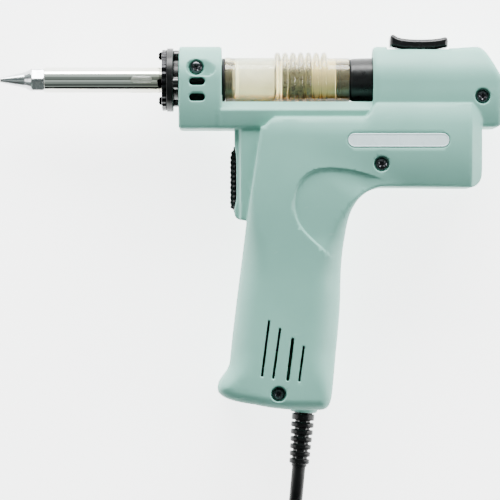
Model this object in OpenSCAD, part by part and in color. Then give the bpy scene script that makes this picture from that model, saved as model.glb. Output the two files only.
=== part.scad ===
// Pistol-grip desoldering pump, lying on its right side.
// Gun coordinates: x runs back from the nozzle tip, y up from the barrel axis, and z across
// the gun from its parting plane, towards its left side. Sizes are in millimetres.

/* [Overall] */
// Length from the nozzle tip to the back of the housing
gun_length = 240; // [239:0.5:242]
// Half of the width across the grip shell, from the bench to the parting plane
half_width = 21; // [21:0.25:22]
// Height of the bottom of the grip below the barrel axis
grip_drop = 157.5; // [157:0.5:160]

/* [Housing] */
// Half of the width of the upper housing, which is also its arch radius
body_half = 16.5; // [16.3:0.1:17]
// Height of the top of the housing above the barrel axis
body_top = 16; // [15.8:0.1:16.2]
// Half of the width of the grip
grip_half = 19.5; // [19:0.25:20]
// Half of the width of the trigger pod
pod_half = 12.5; // [12:0.25:13]
// Thickness of the moulded walls
wall = 2.2; // [2:0.1:2.3]
// Depth of the palm recess in each side
palm_depth = 1.2; // [0.8:0.1:1.3]

/* [Nozzle and heater] */
// Radius of the hole in the nozzle tip
tip_hole_r = 0.5; // [0.4:0.1:0.7]
// Radius of the nozzle tip
tip_r = 1.1; // [1:0.1:1.4]
// Radius of the polished heater barrel
barrel_r = 6.1; // [6:0.1:6.3]
// Wall of the heater barrel
barrel_wall = 0.6; // [0.5:0.1:0.7]
// Outer radius of the suction pipe
pipe_r = 2.2; // [2:0.1:2.2]
// Radius of the front flange plate
flange_r = 14.75; // [14.5:0.25:15]

/* [Collector] */
// Outer radius of the collector tube
tube_r = 10.6; // [10.5:0.1:10.7]
// Inner radius of the collector tube
tube_bore_r = 9.2; // [9.2:0.1:9.4]
// Radius over the grip ribs of the collector tube
rib_r = 13.3; // [12.8:0.1:13.4]
// Distance that the collector slides back for removal
collector_travel = 6; // [4:0.5:6]

/* [Controls] */
// Travel of the trigger
trigger_travel = 2; // [1.5:0.1:2]
// Half of the width of the power rocker
rocker_half = 6.5; // [6:0.1:6.6]

/* [Mains cord] */
// Diameter of the round mains cord
cord_d = 6.5; // [6.4:0.05:6.6]

/* [Hidden] */
$fn = 48;
eps = 0.5;
fit = 0.02;
run_fit = 0.05;

// Rear edge and main stations along the barrel
rear_x = gun_length;
head_x0 = 86;
head_x1 = 106.5;
rear_x0 = 178.5;
arch_y = body_top - body_half;
body_low = -24;
cradle_top = -10.9;
scoop_x = 205.4;
scoop_y = 14.6;
scoop_r = 158;
scoop_angle = asin(21 / scoop_r);
pod_x = 112.5;
shell_top = -12;
shell_low = -52;
lip_y = -18.5;
shell_half = half_width;

// Sideways shift of the right half's cooling slits, which puts them between the left half's
slit_shift = 2.5;

// Height of the highest point, on the rocker, the collar under the foot of the grip, and the
// middle of the gun's height
rocker_top = 21.5;
collar_h = 1.9;
collar_r = 7;
mid_y = (rocker_top - grip_drop - collar_h) / 2;

// Nozzle and heater stations
cone_x = 12;
cone_r = 3.85;
hex_x = 15.3;
hex_r = 5.9;
nozzle_end = 21.5;
core_x0 = 16.2;
core_x1 = 109.5;
core_bore = 1.2;
slot_x0 = 63;
slot_x1 = 73.2;
slot_w = 3.2;
barrel_shoulder = 76.8;
tail_r = barrel_r - 0.3;

// Flange stations and its three screws
plate_x = 77.9;
rear_plate_x = 80.2;
standoff_x = 83.3;
rear_plate_r = 15.2;
flange_pcd_r = 12.5;
flange_angle = 20;
flange_screw_r = 1.25;
standoff_r = 2.9;
neck_r = 9.4;

// Collector stations
tube_x0 = 108.2;
tube_x1 = 167.4;
rib_x0 = 133.1;
rib_pitch = 3.72;
rib_count = 7;
rib_w = 2.3;
holder_x0 = 167.8;
holder_x1 = 180.5;
trough_r = 14;
barb_y = -8;
barb_r = 1.3;
barb_end = 185;
spring_seat_x = 197;

// Pump and motor stations, on an axis below the barrel
pump_y = -31.5;
motor_x0 = 188;
motor_x1 = 209;
motor_r = 11.5;
pump_r = 12;
body_x0 = 209.2;
diaphragm_x = 220;
cover_x = 221;
cover_x1 = 226.5;
inlet_x = 223.7;
inlet_end = -15.5;
shaft_r = 1.5;
cam_offset = 0.8;

// Rocker pivot and the switch under it
rocker_x = 200.65;
rocker_half_len = 13.85;
pivot_y = 9.4;
pivot_r = 1.2;

// Trigger and microswitch
trigger_x = 110.4;
trigger_low = -63.8;
trigger_high = -32.3;
trigger_half = 5;
lever_x = 121.3;
lever_y = -44;
lever_tilt = 10;
push_y = -56;
plunger_y = -50;

// Housing screws: position, height of the head's seat, and height of the post
screw_r = 1.5;
screw_head_r = 3;
counterbore_r = 3.65;
SCREWS = [[94.4, 5.3, 11.4, 12.9], [230.4, -8.5, 13.7, 15.4], [182.3, -40.7, 17.8, 19],
    [133.6, -149.7, 16.8, 18]];

// Cord: strain relief, lead, coil and plug, with the route's own points from the bench up
relief_x = 145.8;
relief_lean = 4.8;
relief_len = 28;
cord_r = cord_d / 2;
tie_t = 0.8;
coil_turns = 6.25;
coil_out = 45.65;
coil_x = 93.85;
coil_y = -256;
coil_in = coil_out - coil_turns / 2 * cord_d;
coil_z = tie_t + cord_r;
plug_x = 53.85;
plug_y = -297;
plug_z = 7.5;
LEAD = [[143.4, -185.4, 21], [142.9, -191, 20.8], [142.4, -197, 19.4], [141.9, -203, 16.6],
    [141.4, -209, 12.9], [140.9, -215, 9.3], [140.4, -221, 6.4], [140, -227, 4.5],
    [139.7, -233, 3.6], [139.5, -239, 3.3], [139.5, -247, 3.6], [139.5, -256, 4.05]];
TAIL = [[93.85, -301.65, 10.55], [87, -301.4, 10.3], [80, -300.8, 9.4], [73, -299.6, 8.3],
    [66, -298.2, 7.6], [60, -297.3, 7.5], [53.85, -297, 7.5]];

// ---- placing and shared shapes ----

// Moves gun coordinates to the part's frame, whose origin is under the middle of the gun.
module on_axis() {
    translate([-gun_length / 2, -mid_y, half_width]) children();
}

// Moves shapes drawn from the bench up to the part's frame.
module on_bench() {
    translate([-gun_length / 2, -mid_y, 0]) children();
}

// A round bar along x.
module rod_x(x0, x1, r) {
    translate([x0, 0, 0]) rotate([0, 90, 0]) cylinder(h = x1 - x0, r = r);
}

// A ring or tube along x.
module ring_x(x0, x1, outer, inner) {
    difference() {
        rod_x(x0, x1, outer);
        rod_x(x0 - eps, x1 + eps, inner);
    }
}

// A solid of revolution about x, from [x, radius] points.
module turned(points) {
    rotate([0, 90, 0]) rotate_extrude() polygon([for (p = points) [p[1], p[0]]]);
}

// Places a shape at each of the three flange screws.
module at_flange_screws() {
    for (i = [0:2]) {
        a = 120 * i + flange_angle;
        translate([0, flange_pcd_r * cos(a), -flange_pcd_r * sin(a)]) children();
    }
}

// A slot with round ends along x, cut across z.
module stadium(x0, x1, y, w) {
    translate([x0 + w / 2, y - w / 2]) square([x1 - x0 - w, w]);
    translate([x0 + w / 2, y]) circle(d = w);
    translate([x1 - w / 2, y]) circle(d = w);
}

function arc(c, r, a0, a1, n = 6) =
    [for (i = [0:n]) c + r * [cos(a0 + (a1 - a0) * i / n), sin(a0 + (a1 - a0) * i / n)]];

function bezier(a, b, c, d, n = 7) =
    [for (i = [0:n]) let (t = i / n, s = 1 - t)
        s * s * s * a + 3 * s * s * t * b + 3 * s * t * t * c + t * t * t * d];

function rounded_box(x0, y0, x1, y1, r) = concat(
    arc([x1 - r, y1 - r], r, 0, 90),
    arc([x0 + r, y1 - r], r, 90, 180),
    arc([x0 + r, y0 + r], r, 180, 270),
    arc([x1 - r, y0 + r], r, 270, 360));

function unit(v) = v / norm(v);

function tangent(path, i) = unit(path[min(i + 1, len(path) - 1)] - path[max(i - 1, 0)]);

function ring_points(path, i, r, sides, up) =
    let (t = tangent(path, i), s = unit(cross(t, up)), u = cross(s, t))
    [for (k = [0:sides - 1]) path[i] + r * (cos(360 * k / sides) * s + sin(360 * k / sides) * u)];

// A tube of one polyhedron, with a ring of points at each point of its path.
module swept(path, r, sides, up = [0, 0, 1]) {
    last = len(path) - 1;
    points = [for (i = [0:last]) each ring_points(path, i, r, sides, up)];
    start_face = [for (k = [sides - 1:-1:0]) k];
    end_face = [for (k = [0:sides - 1]) last * sides + k];
    side_faces = [for (i = [0:last - 1]) for (k = [0:sides - 1])
        let (n = (k + 1) % sides)
        [i * sides + k, i * sides + n, (i + 1) * sides + n, (i + 1) * sides + k]];
    polyhedron(points, concat([start_face], [end_face], side_faces));
}

// A coil spring along x with a round wire.
module coil_spring(x0, x1, r, wire, turns) {
    steps = 14;
    path = [for (i = [0:turns * steps])
        let (a = 360 * i / steps, t = i / (turns * steps))
        [x0 + wire + (x1 - x0 - 2 * wire) * t, (r - wire) * cos(a), (r - wire) * sin(a)]];
    swept(path, wire, 6, [1, 0, 0]);
}

// ---- outlines of the housing, seen from the left side ----

module head_outline() {
    polygon(rounded_box(head_x0, body_low, head_x1, body_top, 1.3));
}

module rear_outline() {
    polygon(concat(
        [[rear_x0, body_low]],
        arc([rear_x - 4, body_low + 4], 4, 270, 360),
        [[rear_x, 0], [rear_x - 8.6, body_top - 0.4], [rear_x - 10, body_top]],
        arc([scoop_x, scoop_y + scoop_r], scoop_r, -90 + scoop_angle, -90 - scoop_angle, 10),
        [[rear_x0, body_top]]));
}

module pod_outline() {
    polygon(concat(
        [[pod_x, body_low + 1]],
        arc([pod_x + 5, -62.5], 5, 180, 270),
        [[126, -67.5], [130, body_low + 1]]));
}

module shell_outline() {
    polygon(concat(
        arc([225, shell_top - 5.2], 5.2, 90, 0),
        arc([223.8, shell_low + 6.5], 6.5, 0, -90),
        [[182, shell_low + 0.4]],
        bezier([182, shell_low + 0.4], [170, -54], [166.5, -64], [165.4, -74]),
        [[119.6, -74]],
        [[125.2, -23.4]],
        bezier([125.2, -23.4], [128.5, -22.8], [129, lip_y], [134, lip_y], 4),
        [[173.4, lip_y]],
        bezier([173.4, lip_y], [177.2, lip_y], [177, shell_top], [181, shell_top], 5)));
}

module grip_outline() {
    polygon(concat(
        [[118.6, -66]],
        bezier([118, -68], [115.5, -92], [112.5, -112], [110.4, -134]),
        bezier([110.4, -134], [110.4, -141], [104, -142.5], [104.5, -147.5]),
        bezier([104.5, -147.5], [105, -152], [113, -153.6], [122, -155], 5),
        bezier([122, -155], [130, -156.6], [136, -grip_drop], [145, -grip_drop], 4),
        bezier([153.5, -grip_drop], [157.5, -grip_drop], [158.5, -154], [159.1, -149], 5),
        bezier([159.1, -149], [161.5, -126], [163.2, -112], [163.2, -100]),
        bezier([163.2, -100], [163.4, -88], [164, -77], [166.6, -66], 5)));
}

module palm_outline() {
    polygon(concat(
        bezier([190, -50.5], [172, -43.5], [140.5, -33], [140.5, -60.4], 10),
        bezier([140.5, -60.4], [140.5, -72], [150.5, -77.5], [158, -85]),
        [[175, -85], [190, -60]]));
}

// ---- housing halves ----

// Section across the upper housing: an arch on straight sides.
module arch_section(half, top_y) {
    intersection() {
        union() {
            translate([top_y, 0]) circle(r = half, $fn = 96);
            translate([-40, 0]) square([40 + top_y, half]);
        }
        translate([-40, 0]) square([80, 40]);
    }
}

// Extrudes a section drawn in (y, z) along x.
module along_x(x0, x1) {
    translate([x0, 0, 0]) rotate([90, 0, 90]) linear_extrude(x1 - x0) children();
}

// Nested prisms of one outline, each [height, inset], which round off its outer edge.
module stepped(levels) {
    for (level = levels) {
        linear_extrude(level[0]) offset(delta = -level[1]) children();
    }
}

module upper_outer() {
    intersection() {
        union() {
            linear_extrude(body_half + 4) head_outline();
            linear_extrude(body_half + 4) rear_outline();
        }
        along_x(head_x0 - eps, rear_x + eps) arch_section(body_half, arch_y);
    }
}

// The cradle's round shoulder is an arc in its section.
module cradle_outer() {
    r = 4;
    along_x(head_x1 - 1, rear_x0 + 1) polygon(concat(
        [[body_low, 0], [body_low, body_half]],
        arc([cradle_top - r, body_half - r], r, 90, 0),
        [[cradle_top, 0]]));
}

module half_outer() {
    upper_outer();
    cradle_outer();
    stepped([[pod_half - 1.5, 0], [pod_half, 1.5]]) pod_outline();
    stepped([[shell_half - 2.5, 0], [shell_half - 1, 1.4], [shell_half, 3.4]]) shell_outline();
    stepped([[grip_half - 4, 0], [grip_half - 1.5, 1.6], [grip_half, 4]]) grip_outline();
    stepped([[shell_half - 1.5, 0.01], [shell_half, 2]]) flare_outline();
    intersection() {
        translate([relief_x, -grip_drop + 1, 0]) rotate([90, 0, 0])
            cylinder(h = collar_h + 1, r1 = collar_r, r2 = collar_r - 1.4);
        translate([relief_x - 10, -grip_drop - 5, 0]) cube([20, 10, 10]);
    }
}

// The flared foot of the grip stands out as far as the shell.
module flare_outline() {
    intersection() {
        grip_outline();
        polygon([[100, -170], [170, -170], [170, -150], [130, -145], [100, -138]]);
    }
}

module half_inner() {
    inner = body_half - wall;
    intersection() {
        translate([0, 0, -eps]) linear_extrude(body_half + eps) union() {
            polygon(rounded_box(head_x0 + 4, body_low + wall, head_x1 - wall, body_top - wall, 1));
            offset(delta = -wall) rear_outline();
        }
        along_x(head_x0, rear_x) union() {
            arch_section(inner, arch_y);
            translate([-40, -2]) square([80, 2.01]);
        }
    }
    translate([head_x1 - wall - 1, body_low + wall, -eps]) cube([90, 5.4, inner + eps]);
    translate([0, 0, -eps]) {
        linear_extrude(pod_half - wall + eps)
            polygon([[pod_x + wall, -65.4], [135, -65.4], [135, body_low + 1], [pod_x + wall, body_low - 1]]);
        linear_extrude(shell_half - 3 + eps) offset(delta = -wall - 0.2) shell_outline();
        linear_extrude(grip_half - 5 + eps) offset(delta = -wall - 0.2) grip_outline();
        linear_extrude(grip_half - 2.7 + eps) offset(delta = -5.4) grip_outline();
    }
}

// Posts for the housing screws, ribs that seat the two springs, and bearers for the pump.
module half_posts(slim_r, wide_r) {
    for (s = SCREWS) {
        translate([s[0], s[1], 0]) {
            cylinder(h = s[3], r = slim_r);
            translate([0, 0, 6]) cylinder(h = s[3] - 6, r = wide_r);
        }
    }
    translate([spring_seat_x, -5, 0]) cube([2, 9.4, body_half - 1]);
    translate([124, -39, 0]) cube([2, 6, pod_half - 1]);
}

module half_shell(slim_r, wide_r) {
    difference() {
        half_outer();
        half_inner();
    }
    half_posts(slim_r, wide_r);
}

// Openings that both halves share, each through the parting plane or through both sides.
module shared_cuts() {
    rod_x(head_x0 - eps, head_x0 + 5, pipe_r + 0.3);
    rod_x(head_x1 - wall - eps, head_x1 + eps, 7.2);
    rod_x(head_x1 + 0.01, rear_x0 + 0.01, trough_r);
    rod_x(rear_x0 - eps, rear_x0 + wall + 1, 10.9);
    at_flange_screws() rod_x(head_x0 - eps, head_x0 + 4.5, flange_screw_r + fit);
    translate([pod_x - 2, trigger_low - 0.3, -trigger_half - 0.3])
        cube([5, trigger_high - trigger_low + 0.6, 2 * trigger_half + 0.6]);
    translate([rocker_x - rocker_half_len - 1.3, scoop_y - wall - 1.3, -rocker_half - 0.4])
        cube([2 * rocker_half_len + 1.9, 6, 2 * rocker_half + 0.8]);
    translate([relief_x, -grip_drop, 0]) rotate([90, 0, -relief_lean])
        translate([0, 0, -7]) cylinder(h = 14, r = 4.6);
    for (side = [-1, 1]) {
        translate([side < 0 ? slit_shift : 0, 0, side * 18]) linear_extrude(12, center = true) grip_slits();
        translate([0, 0, side * (shell_half + 3 - palm_depth)])
            linear_extrude(6, center = true) palm_outline();
    }
}

// Four slanted vent slits low in the grip, as the top and bottom of each. Those of the right
// half lie between those of the left.
module grip_slits() {
    for (s = [[129, -115.5, 125.7, -141], [134.2, -119.2, 131, -142], [140.2, -124, 137.9, -142.8],
            [145.4, -127.5, 143.3, -143.4]]) {
        top = [s[0], s[1]];
        low = [s[2], s[3]];
        polygon([top + [0.6, 0], top - [0.6, 0], low - [0.6, 0], low + [0.6, 0]]);
    }
}

module housing_left() color("#99b8b3") on_axis() difference() {
    half_shell(2.9, 4.9);
    shared_cuts();
    for (y = [-1.5, -9]) {
        translate([0, 0, 14]) linear_extrude(8, center = true) stadium(91, 98.6, y, 3.6);
    }
    translate([89.8, 1, 13.4]) cube([14, 8.3, 6]);
    translate([0, 0, shell_half - 0.6]) linear_extrude(2) stadium(166, 214.6, -29.6, 7.2);
    for (s = SCREWS) {
        translate([s[0], s[1], -eps]) cylinder(h = 30, r = screw_r + 0.1);
        translate([s[0], s[1], s[2]]) cylinder(h = 10, r = counterbore_r);
    }
}

module housing_right() color("#99b8b3") on_axis() difference() {
    mirror([0, 0, 1]) half_shell(2.9, 2.9);
    shared_cuts();
    for (s = SCREWS) {
        translate([s[0], s[1], -11]) cylinder(h = 11 + eps, r = screw_r + fit);
    }
}

module housing_screws() color("#1c1c1e") on_axis() for (s = SCREWS) {
    translate([s[0], s[1], 0]) difference() {
        union() {
            translate([0, 0, s[2]]) cylinder(h = 1.9, r = screw_head_r);
            translate([0, 0, -9]) cylinder(h = s[2] + 9, r = screw_r);
        }
        for (a = [0, 90]) {
            rotate([0, 0, a]) translate([-1.9, -0.4, s[2] + 0.9]) cube([3.8, 0.8, 2]);
        }
    }
}

// A plain plate in the shallow recess on the left side.
module name_plate() color("#a8c6d4") on_axis() {
    translate([0, 0, shell_half - 0.58]) linear_extrude(0.4) stadium(166.4, 214.2, -29.6, 6.4);
}

// ---- nozzle, heater and flange ----

module nozzle() color("#c9c9cc") on_axis() difference() {
    union() {
        turned([[0, 0], [0, tip_r], [cone_x, cone_r], [hex_x, hex_r - 0.4], [hex_x, 0]]);
        translate([hex_x - 0.01, 0, 0]) rotate([0, 90, 0])
            cylinder(h = nozzle_end - hex_x, r = hex_r, $fn = 6);
    }
    rod_x(-eps, 7, tip_hole_r);
    rod_x(6, core_x0 + eps, core_bore);
    rod_x(core_x0 - 0.2, nozzle_end + eps, pipe_r + fit);
}

module heater_barrel() color("#d8d8da") on_axis() difference() {
    union() {
        ring_x(nozzle_end + fit, barrel_shoulder, barrel_r, barrel_r - barrel_wall);
        ring_x(barrel_shoulder - 0.01, rear_plate_x - fit, tail_r, barrel_r - barrel_wall);
    }
    for (side = [0, 90]) {
        rotate([side, 0, 0]) linear_extrude(20, center = true) stadium(slot_x0, slot_x1, 0, slot_w);
    }
}

module suction_pipe() color("#b5b5b8") on_axis() ring_x(core_x0, core_x1, pipe_r, core_bore);

module heater_element() color("#e6e0d2") on_axis() ring_x(24, 60, 5, pipe_r + fit);

module flange_front() color("#2a2a2c") on_axis() difference() {
    ring_x(plate_x, rear_plate_x - fit, flange_r, tail_r + fit);
    at_flange_screws() rod_x(plate_x - eps, rear_plate_x + eps, flange_screw_r + fit);
}

module flange_rear() color("#1c1c1e") on_axis() difference() {
    ring_x(rear_plate_x, standoff_x - fit, rear_plate_r, pipe_r + fit);
    at_flange_screws() rod_x(rear_plate_x - eps, standoff_x + eps, flange_screw_r + fit);
}

module flange_screws() color("#9a9a9c") on_axis() at_flange_screws() {
    rod_x(75.8, plate_x, 2);
    rod_x(plate_x - 0.01, head_x0 + 4, flange_screw_r);
}

module flange_standoffs() color("#b08d57") on_axis() at_flange_screws() {
    ring_x(standoff_x, head_x0 - fit, standoff_r, flange_screw_r + fit);
}

module neck_insulator() color("#1c1c1e") on_axis() ring_x(standoff_x, head_x0 - fit, neck_r, pipe_r + fit);

// ---- collector, which slides back and lifts out ----

module front_packing() color("#2b2b2d") on_axis() difference() {
    turned([[101.5, 0], [101.5, 9], [104.2, 9], [104.2, 7.1], [106.6, 7.1], [106.6, 10.4],
        [108.1, 10.4], [108.1, 9.1], [111.5, 8.9], [111.5, 0]]);
    rod_x(101, 112, pipe_r + fit);
}

module collector_tube() color("#efe8c8") on_axis() {
    ring_x(tube_x0, tube_x1, tube_r, tube_bore_r);
    for (i = [0:rib_count - 1]) {
        x = rib_x0 + i * rib_pitch;
        ring_x(x - rib_w / 2, x + rib_w / 2, rib_r, tube_r - 0.3);
    }
}

module tube_label() color("#b9c8b4") on_axis() ring_x(113, 131.5, tube_r + 0.15, tube_r + fit);

module filter_element() color("#8d8f86") on_axis() rod_x(136, 149, tube_bore_r - 0.05);

// A plug of pressed ceramic paper, which the air seeps through.
module filter_paper() color("#efe9d0") on_axis() rod_x(149.1, 160.7, tube_bore_r - 0.05);

module rear_packing() color("#2b2b2d") on_axis() difference() {
    turned([[160.9, 0], [160.9, 9.1], [161.7, 9.1], [161.7, 8.4], [163.3, 8.4], [163.3, 9.1],
        [167.4 + fit, 9.1], [167.4 + fit, 10.2], [holder_x0 - fit, 10.2], [holder_x0 - fit, 0]]);
    rod_x(160, 168, 2);
}

module packing_ring() color("#141416") on_axis() {
    translate([162.5, 0, 0]) rotate([0, 90, 0]) rotate_extrude() translate([8.8, 0]) circle(r = 0.36);
}

module rear_holder() color("#161618") on_axis() difference() {
    union() {
        turned([[holder_x0, 0], [holder_x0, 9.8], [holder_x0 + 0.8, 10.2], [rear_x0 - 2, 10.5],
            [holder_x1, 10.5], [holder_x1, 0]]);
        translate([0, barb_y, 0]) rod_x(holder_x1 - 0.01, barb_end, barb_r);
    }
    rod_x(holder_x0 - eps, holder_x0 + 1, 9);
    rod_x(172, holder_x1 + eps, 5.2);
    translate([0, barb_y, 0]) rod_x(holder_x0, barb_end + eps, 0.7);
}

module holder_spring() color("#b9b9bd") on_axis() coil_spring(172.1, spring_seat_x - 0.1, 4.6, 0.45, 8);

// The hose bends as the collector slides.
module vacuum_hose() color("#d9d4c4") on_axis() swept(concat(
    [[barb_end + 0.1, barb_y, 0], [192, barb_y, 0], [200, barb_y - 0.2, 0], [208, barb_y - 0.5, 0]],
    [for (p = bezier([214, -8.8], [220, -9.2], [inlet_x, -10], [inlet_x, inlet_end + 0.3], 6))
        [p[0], p[1], 0]]), 2.3, 10);

// ---- power switch ----

module power_switch_body() color("#1a1a1c") on_axis() difference() {
    translate([189, 4.8, -7.4]) cube([23.3, 6.4, 14.8]);
    translate([190.5, 6, -5.9]) cube([20.3, 8, 11.8]);
    translate([rocker_x, pivot_y, 0]) cylinder(h = 20, r = pivot_r + run_fit, center = true);
}

module switch_terminals() color("#c8a45a") on_axis() {
    for (x = [206, 210]) {
        translate([x, 1.2, -2]) cube([0.8, 3.6, 4]);
    }
}

// Its concave top stands highest at the front end when the switch is off.
module power_rocker() color("#141416") on_axis() {
    x0 = rocker_x - rocker_half_len;
    x1 = rocker_x + rocker_half_len;
    translate([0, 0, -rocker_half]) linear_extrude(2 * rocker_half) polygon(concat(
        [[x0, 15.9], [rocker_x, 14], [x1, 15.6], [x1 + 0.2, 18.5]],
        arc([x1 - 1.2, 19.1], 1.2, 0, 110, 4),
        bezier([x1 - 3, 19.9], [207, 18.9], [194, 18.7], [x0 + 3.5, 20.4], 8),
        arc([x0 + 1.6, rocker_top - 1.4], 1.4, 75, 180, 4)));
    translate([0, 0, -5.6]) linear_extrude(11.2)
        polygon([[193.5, 15.6], [207.8, 15.6], [204.5, 7.4], [196.8, 7.4]]);
    translate([rocker_x, pivot_y, -7.3]) cylinder(h = 14.6, r = pivot_r);
}

// ---- vacuum pump and its motor ----

module at_pump() {
    translate([0, pump_y, 0]) children();
}

module pump_motor() color("#9fa1a5") on_axis() at_pump() difference() {
    rod_x(motor_x0, motor_x1, motor_r);
    rod_x(motor_x0 + 1, motor_x1 - 1, motor_r - 1);
    rod_x(motor_x1 - 2, motor_x1 + eps, shaft_r + run_fit);
}

module motor_rotor() color("#6e4a2a") on_axis() at_pump() {
    rod_x(motor_x0 + 2.5, motor_x1 - 3, 9.5);
    rod_x(motor_x0 + 1.1, 216, shaft_r);
}

module eccentric_cam() color("#c2a25a") on_axis() at_pump() difference() {
    translate([0, cam_offset, 0]) rod_x(211, 215.9, 4);
    rod_x(210, 217, shaft_r + 0.01);
}

module pump_body() color("#232325") on_axis() at_pump() difference() {
    rod_x(body_x0, diaphragm_x - fit, pump_r);
    rod_x(body_x0 + 1.2, diaphragm_x + eps, 9.5);
    rod_x(body_x0 - eps, diaphragm_x, shaft_r + 0.2);
}

module pump_diaphragm() color("#3a3a3d") on_axis() at_pump() {
    rod_x(diaphragm_x, cover_x - fit, pump_r);
    rod_x(217.4, diaphragm_x + 0.01, 3);
}

module pump_cover() color("#232325") on_axis() at_pump() {
    rod_x(cover_x, cover_x1, pump_r);
    translate([inlet_x, 0, 0]) rotate([-90, 0, 0]) cylinder(h = inlet_end - pump_y, r = barb_r);
}

module pump_bracket() color("#b4b6b9") on_axis() difference() {
    translate([196, -47, -15]) cube([2, 31, 30]);
    at_pump() rod_x(195, 199, motor_r + fit);
    translate([195, -18, -16]) cube([4, 3, 8]);
    translate([195, -18, 8]) cube([4, 3, 8]);
}

// ---- electronics in the grip ----

module circuit_board() color("#2f6b45") on_axis() {
    translate([123, -138, -9.6]) linear_extrude(1.6) polygon([[0, 0], [29, 0], [31, 40], [4, 40]]);
}

module board_parts() color("#3b3f49") on_axis() translate([0, 0, -7.98]) {
    translate([132, -125, 0]) cylinder(h = 13, r = 5);
    translate([142, -129, 0]) cube([8, 12, 7]);
    translate([128, -112, 0]) cube([11, 4.5, 12]);
    translate([143, -112, 0]) cylinder(h = 9, r = 3.2);
}

module trigger() color("#161618") on_axis() {
    translate([trigger_x, trigger_low, -trigger_half])
        cube([115.3 - trigger_x, trigger_high - trigger_low, 2 * trigger_half]);
    translate([115.2, -65, -6.5]) cube([1.5, 34.4, 13]);
    translate([0, push_y, 0]) rod_x(116.6, 118.7, 0.9);
}

module trigger_spring() color("#b9b9bd") on_axis()
    translate([0, -36, 0]) coil_spring(116.8, 123.9, 2.5, 0.35, 5);

module microswitch() color("#1f1f22") on_axis() difference() {
    translate([121.8, -62, -5]) cube([6.4, 20, 10]);
    translate([0, plunger_y, 0]) rod_x(121, 126.2, 0.9 + run_fit);
}

module switch_lever() color("#c6c6c9") on_axis() {
    translate([lever_x, lever_y, 0]) rotate([0, 0, -lever_tilt]) {
        translate([-0.2, -14, -2]) cube([0.4, 14, 4]);
        cylinder(h = 6, r = 0.45, center = true);
    }
}

module switch_plunger() color("#b03a2e") on_axis() translate([0, plunger_y, 0]) rod_x(120.6, 125, 0.9);

// ---- cord, from the bench up ----

// Strain relief axis: it leaves the foot of the grip with a slight forward lean.
module at_relief() {
    translate([relief_x, -grip_drop, half_width]) rotate([90, 0, -relief_lean]) children();
}

module strain_relief() color("#18181a") on_bench() at_relief() rotate_extrude() polygon(concat(
    [[0, -5], [6.2, -5], [6.2, -3.3], [4.5, -3.3], [4.5, 2.5]],
    [for (i = [0:6]) each [[5.45 - 0.15 * i, 2.5 + 3.4 * i], [5.45 - 0.15 * i, 4.2 + 3.4 * i],
        [4.4 - 0.1 * i, 4.5 + 3.4 * i], [4.4 - 0.1 * i, 5.6 + 3.4 * i]]],
    [[cord_r + 0.3, 26.4], [cord_r + 0.1, relief_len], [0, relief_len]]));

module cord_clamp() color("#d8d8d2") on_axis() difference() {
    translate([139.5, -150.4, -3]) cube([15, 3.4, 6]);
    for (x = [141.5, 152.5]) {
        translate([x, -149, 0]) rotate([90, 0, 0]) cylinder(h = 6, r = 1.2, center = true);
    }
}

module clamp_screws() color("#9a9a9c") on_axis() for (x = [141.5, 152.5]) {
    translate([x, -150.2, 0]) rotate([-90, 0, 0]) {
        cylinder(h = 3.3, r = 1.18);
        translate([0, 0, 3.21]) cylinder(h = 1.4, r = 2);
    }
}

module mains_cord() color("#1b1b1d") on_bench() swept(LEAD, cord_r, 10);

module mains_cord_end() color("#1b1b1d") on_bench() swept(TAIL, cord_r, 10);

// The outer shape of two layers of turns.
module mains_cord_coil() color("#1b1b1d") on_bench() translate([coil_x, coil_y, tie_t]) {
    rotate_extrude($fn = 96) translate([coil_in - cord_r, 0])
        square([coil_out - coil_in + cord_d, 2 * cord_d]);
}

module cord_tie() color("#3a3a3c") on_bench() {
    x0 = coil_x - coil_out - cord_r - 0.2;
    x1 = coil_x - coil_in + cord_r + 0.7;
    translate([0, coil_y - 4, 0]) difference() {
        translate([x0 - tie_t, 0, 0]) cube([x1 - x0 + 2 * tie_t, 8, 2 * cord_d + 2 * tie_t]);
        translate([x0, -1, tie_t - 0.01]) cube([x1 - x0, 10, 2 * cord_d + 0.02]);
    }
}

module mains_plug() color("#1b1b1d") on_bench() translate([0, plug_y, 0]) {
    translate([plug_x - 36, 0, 0]) linear_extrude(2 * plug_z)
        polygon(concat([[0, -12], [0, 12]], arc([20, 6], 4, 60, 0), arc([20, -6], 4, 0, -60)));
    translate([0, 0, plug_z]) rod_x(plug_x - 13, plug_x, 4.6);
}

module plug_blades() color("#c9b26a") on_bench() translate([0, plug_y, plug_z]) {
    for (y = [-6.35, 6.35]) {
        translate([plug_x - 53, y - 0.75, -3.15]) cube([17, 1.5, 6.3]);
    }
}

housing_left();
housing_right();
housing_screws();
nozzle();
heater_barrel();
suction_pipe();
heater_element();
flange_front();
flange_rear();
flange_screws();
flange_standoffs();
neck_insulator();
front_packing();
collector_tube();
tube_label();
filter_element();
filter_paper();
rear_packing();
packing_ring();
rear_holder();
holder_spring();
vacuum_hose();
power_switch_body();
power_rocker();
switch_terminals();
pump_motor();
motor_rotor();
eccentric_cam();
pump_body();
pump_diaphragm();
pump_cover();
pump_bracket();
circuit_board();
board_parts();
trigger();
trigger_spring();
microswitch();
switch_lever();
switch_plunger();
name_plate();
cord_clamp();
clamp_screws();
strain_relief();
mains_cord();
mains_cord_coil();
mains_cord_end();
cord_tie();
mains_plug();
plug_blades();
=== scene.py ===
from math import ceil, cos, hypot, pi, radians, sin

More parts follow.
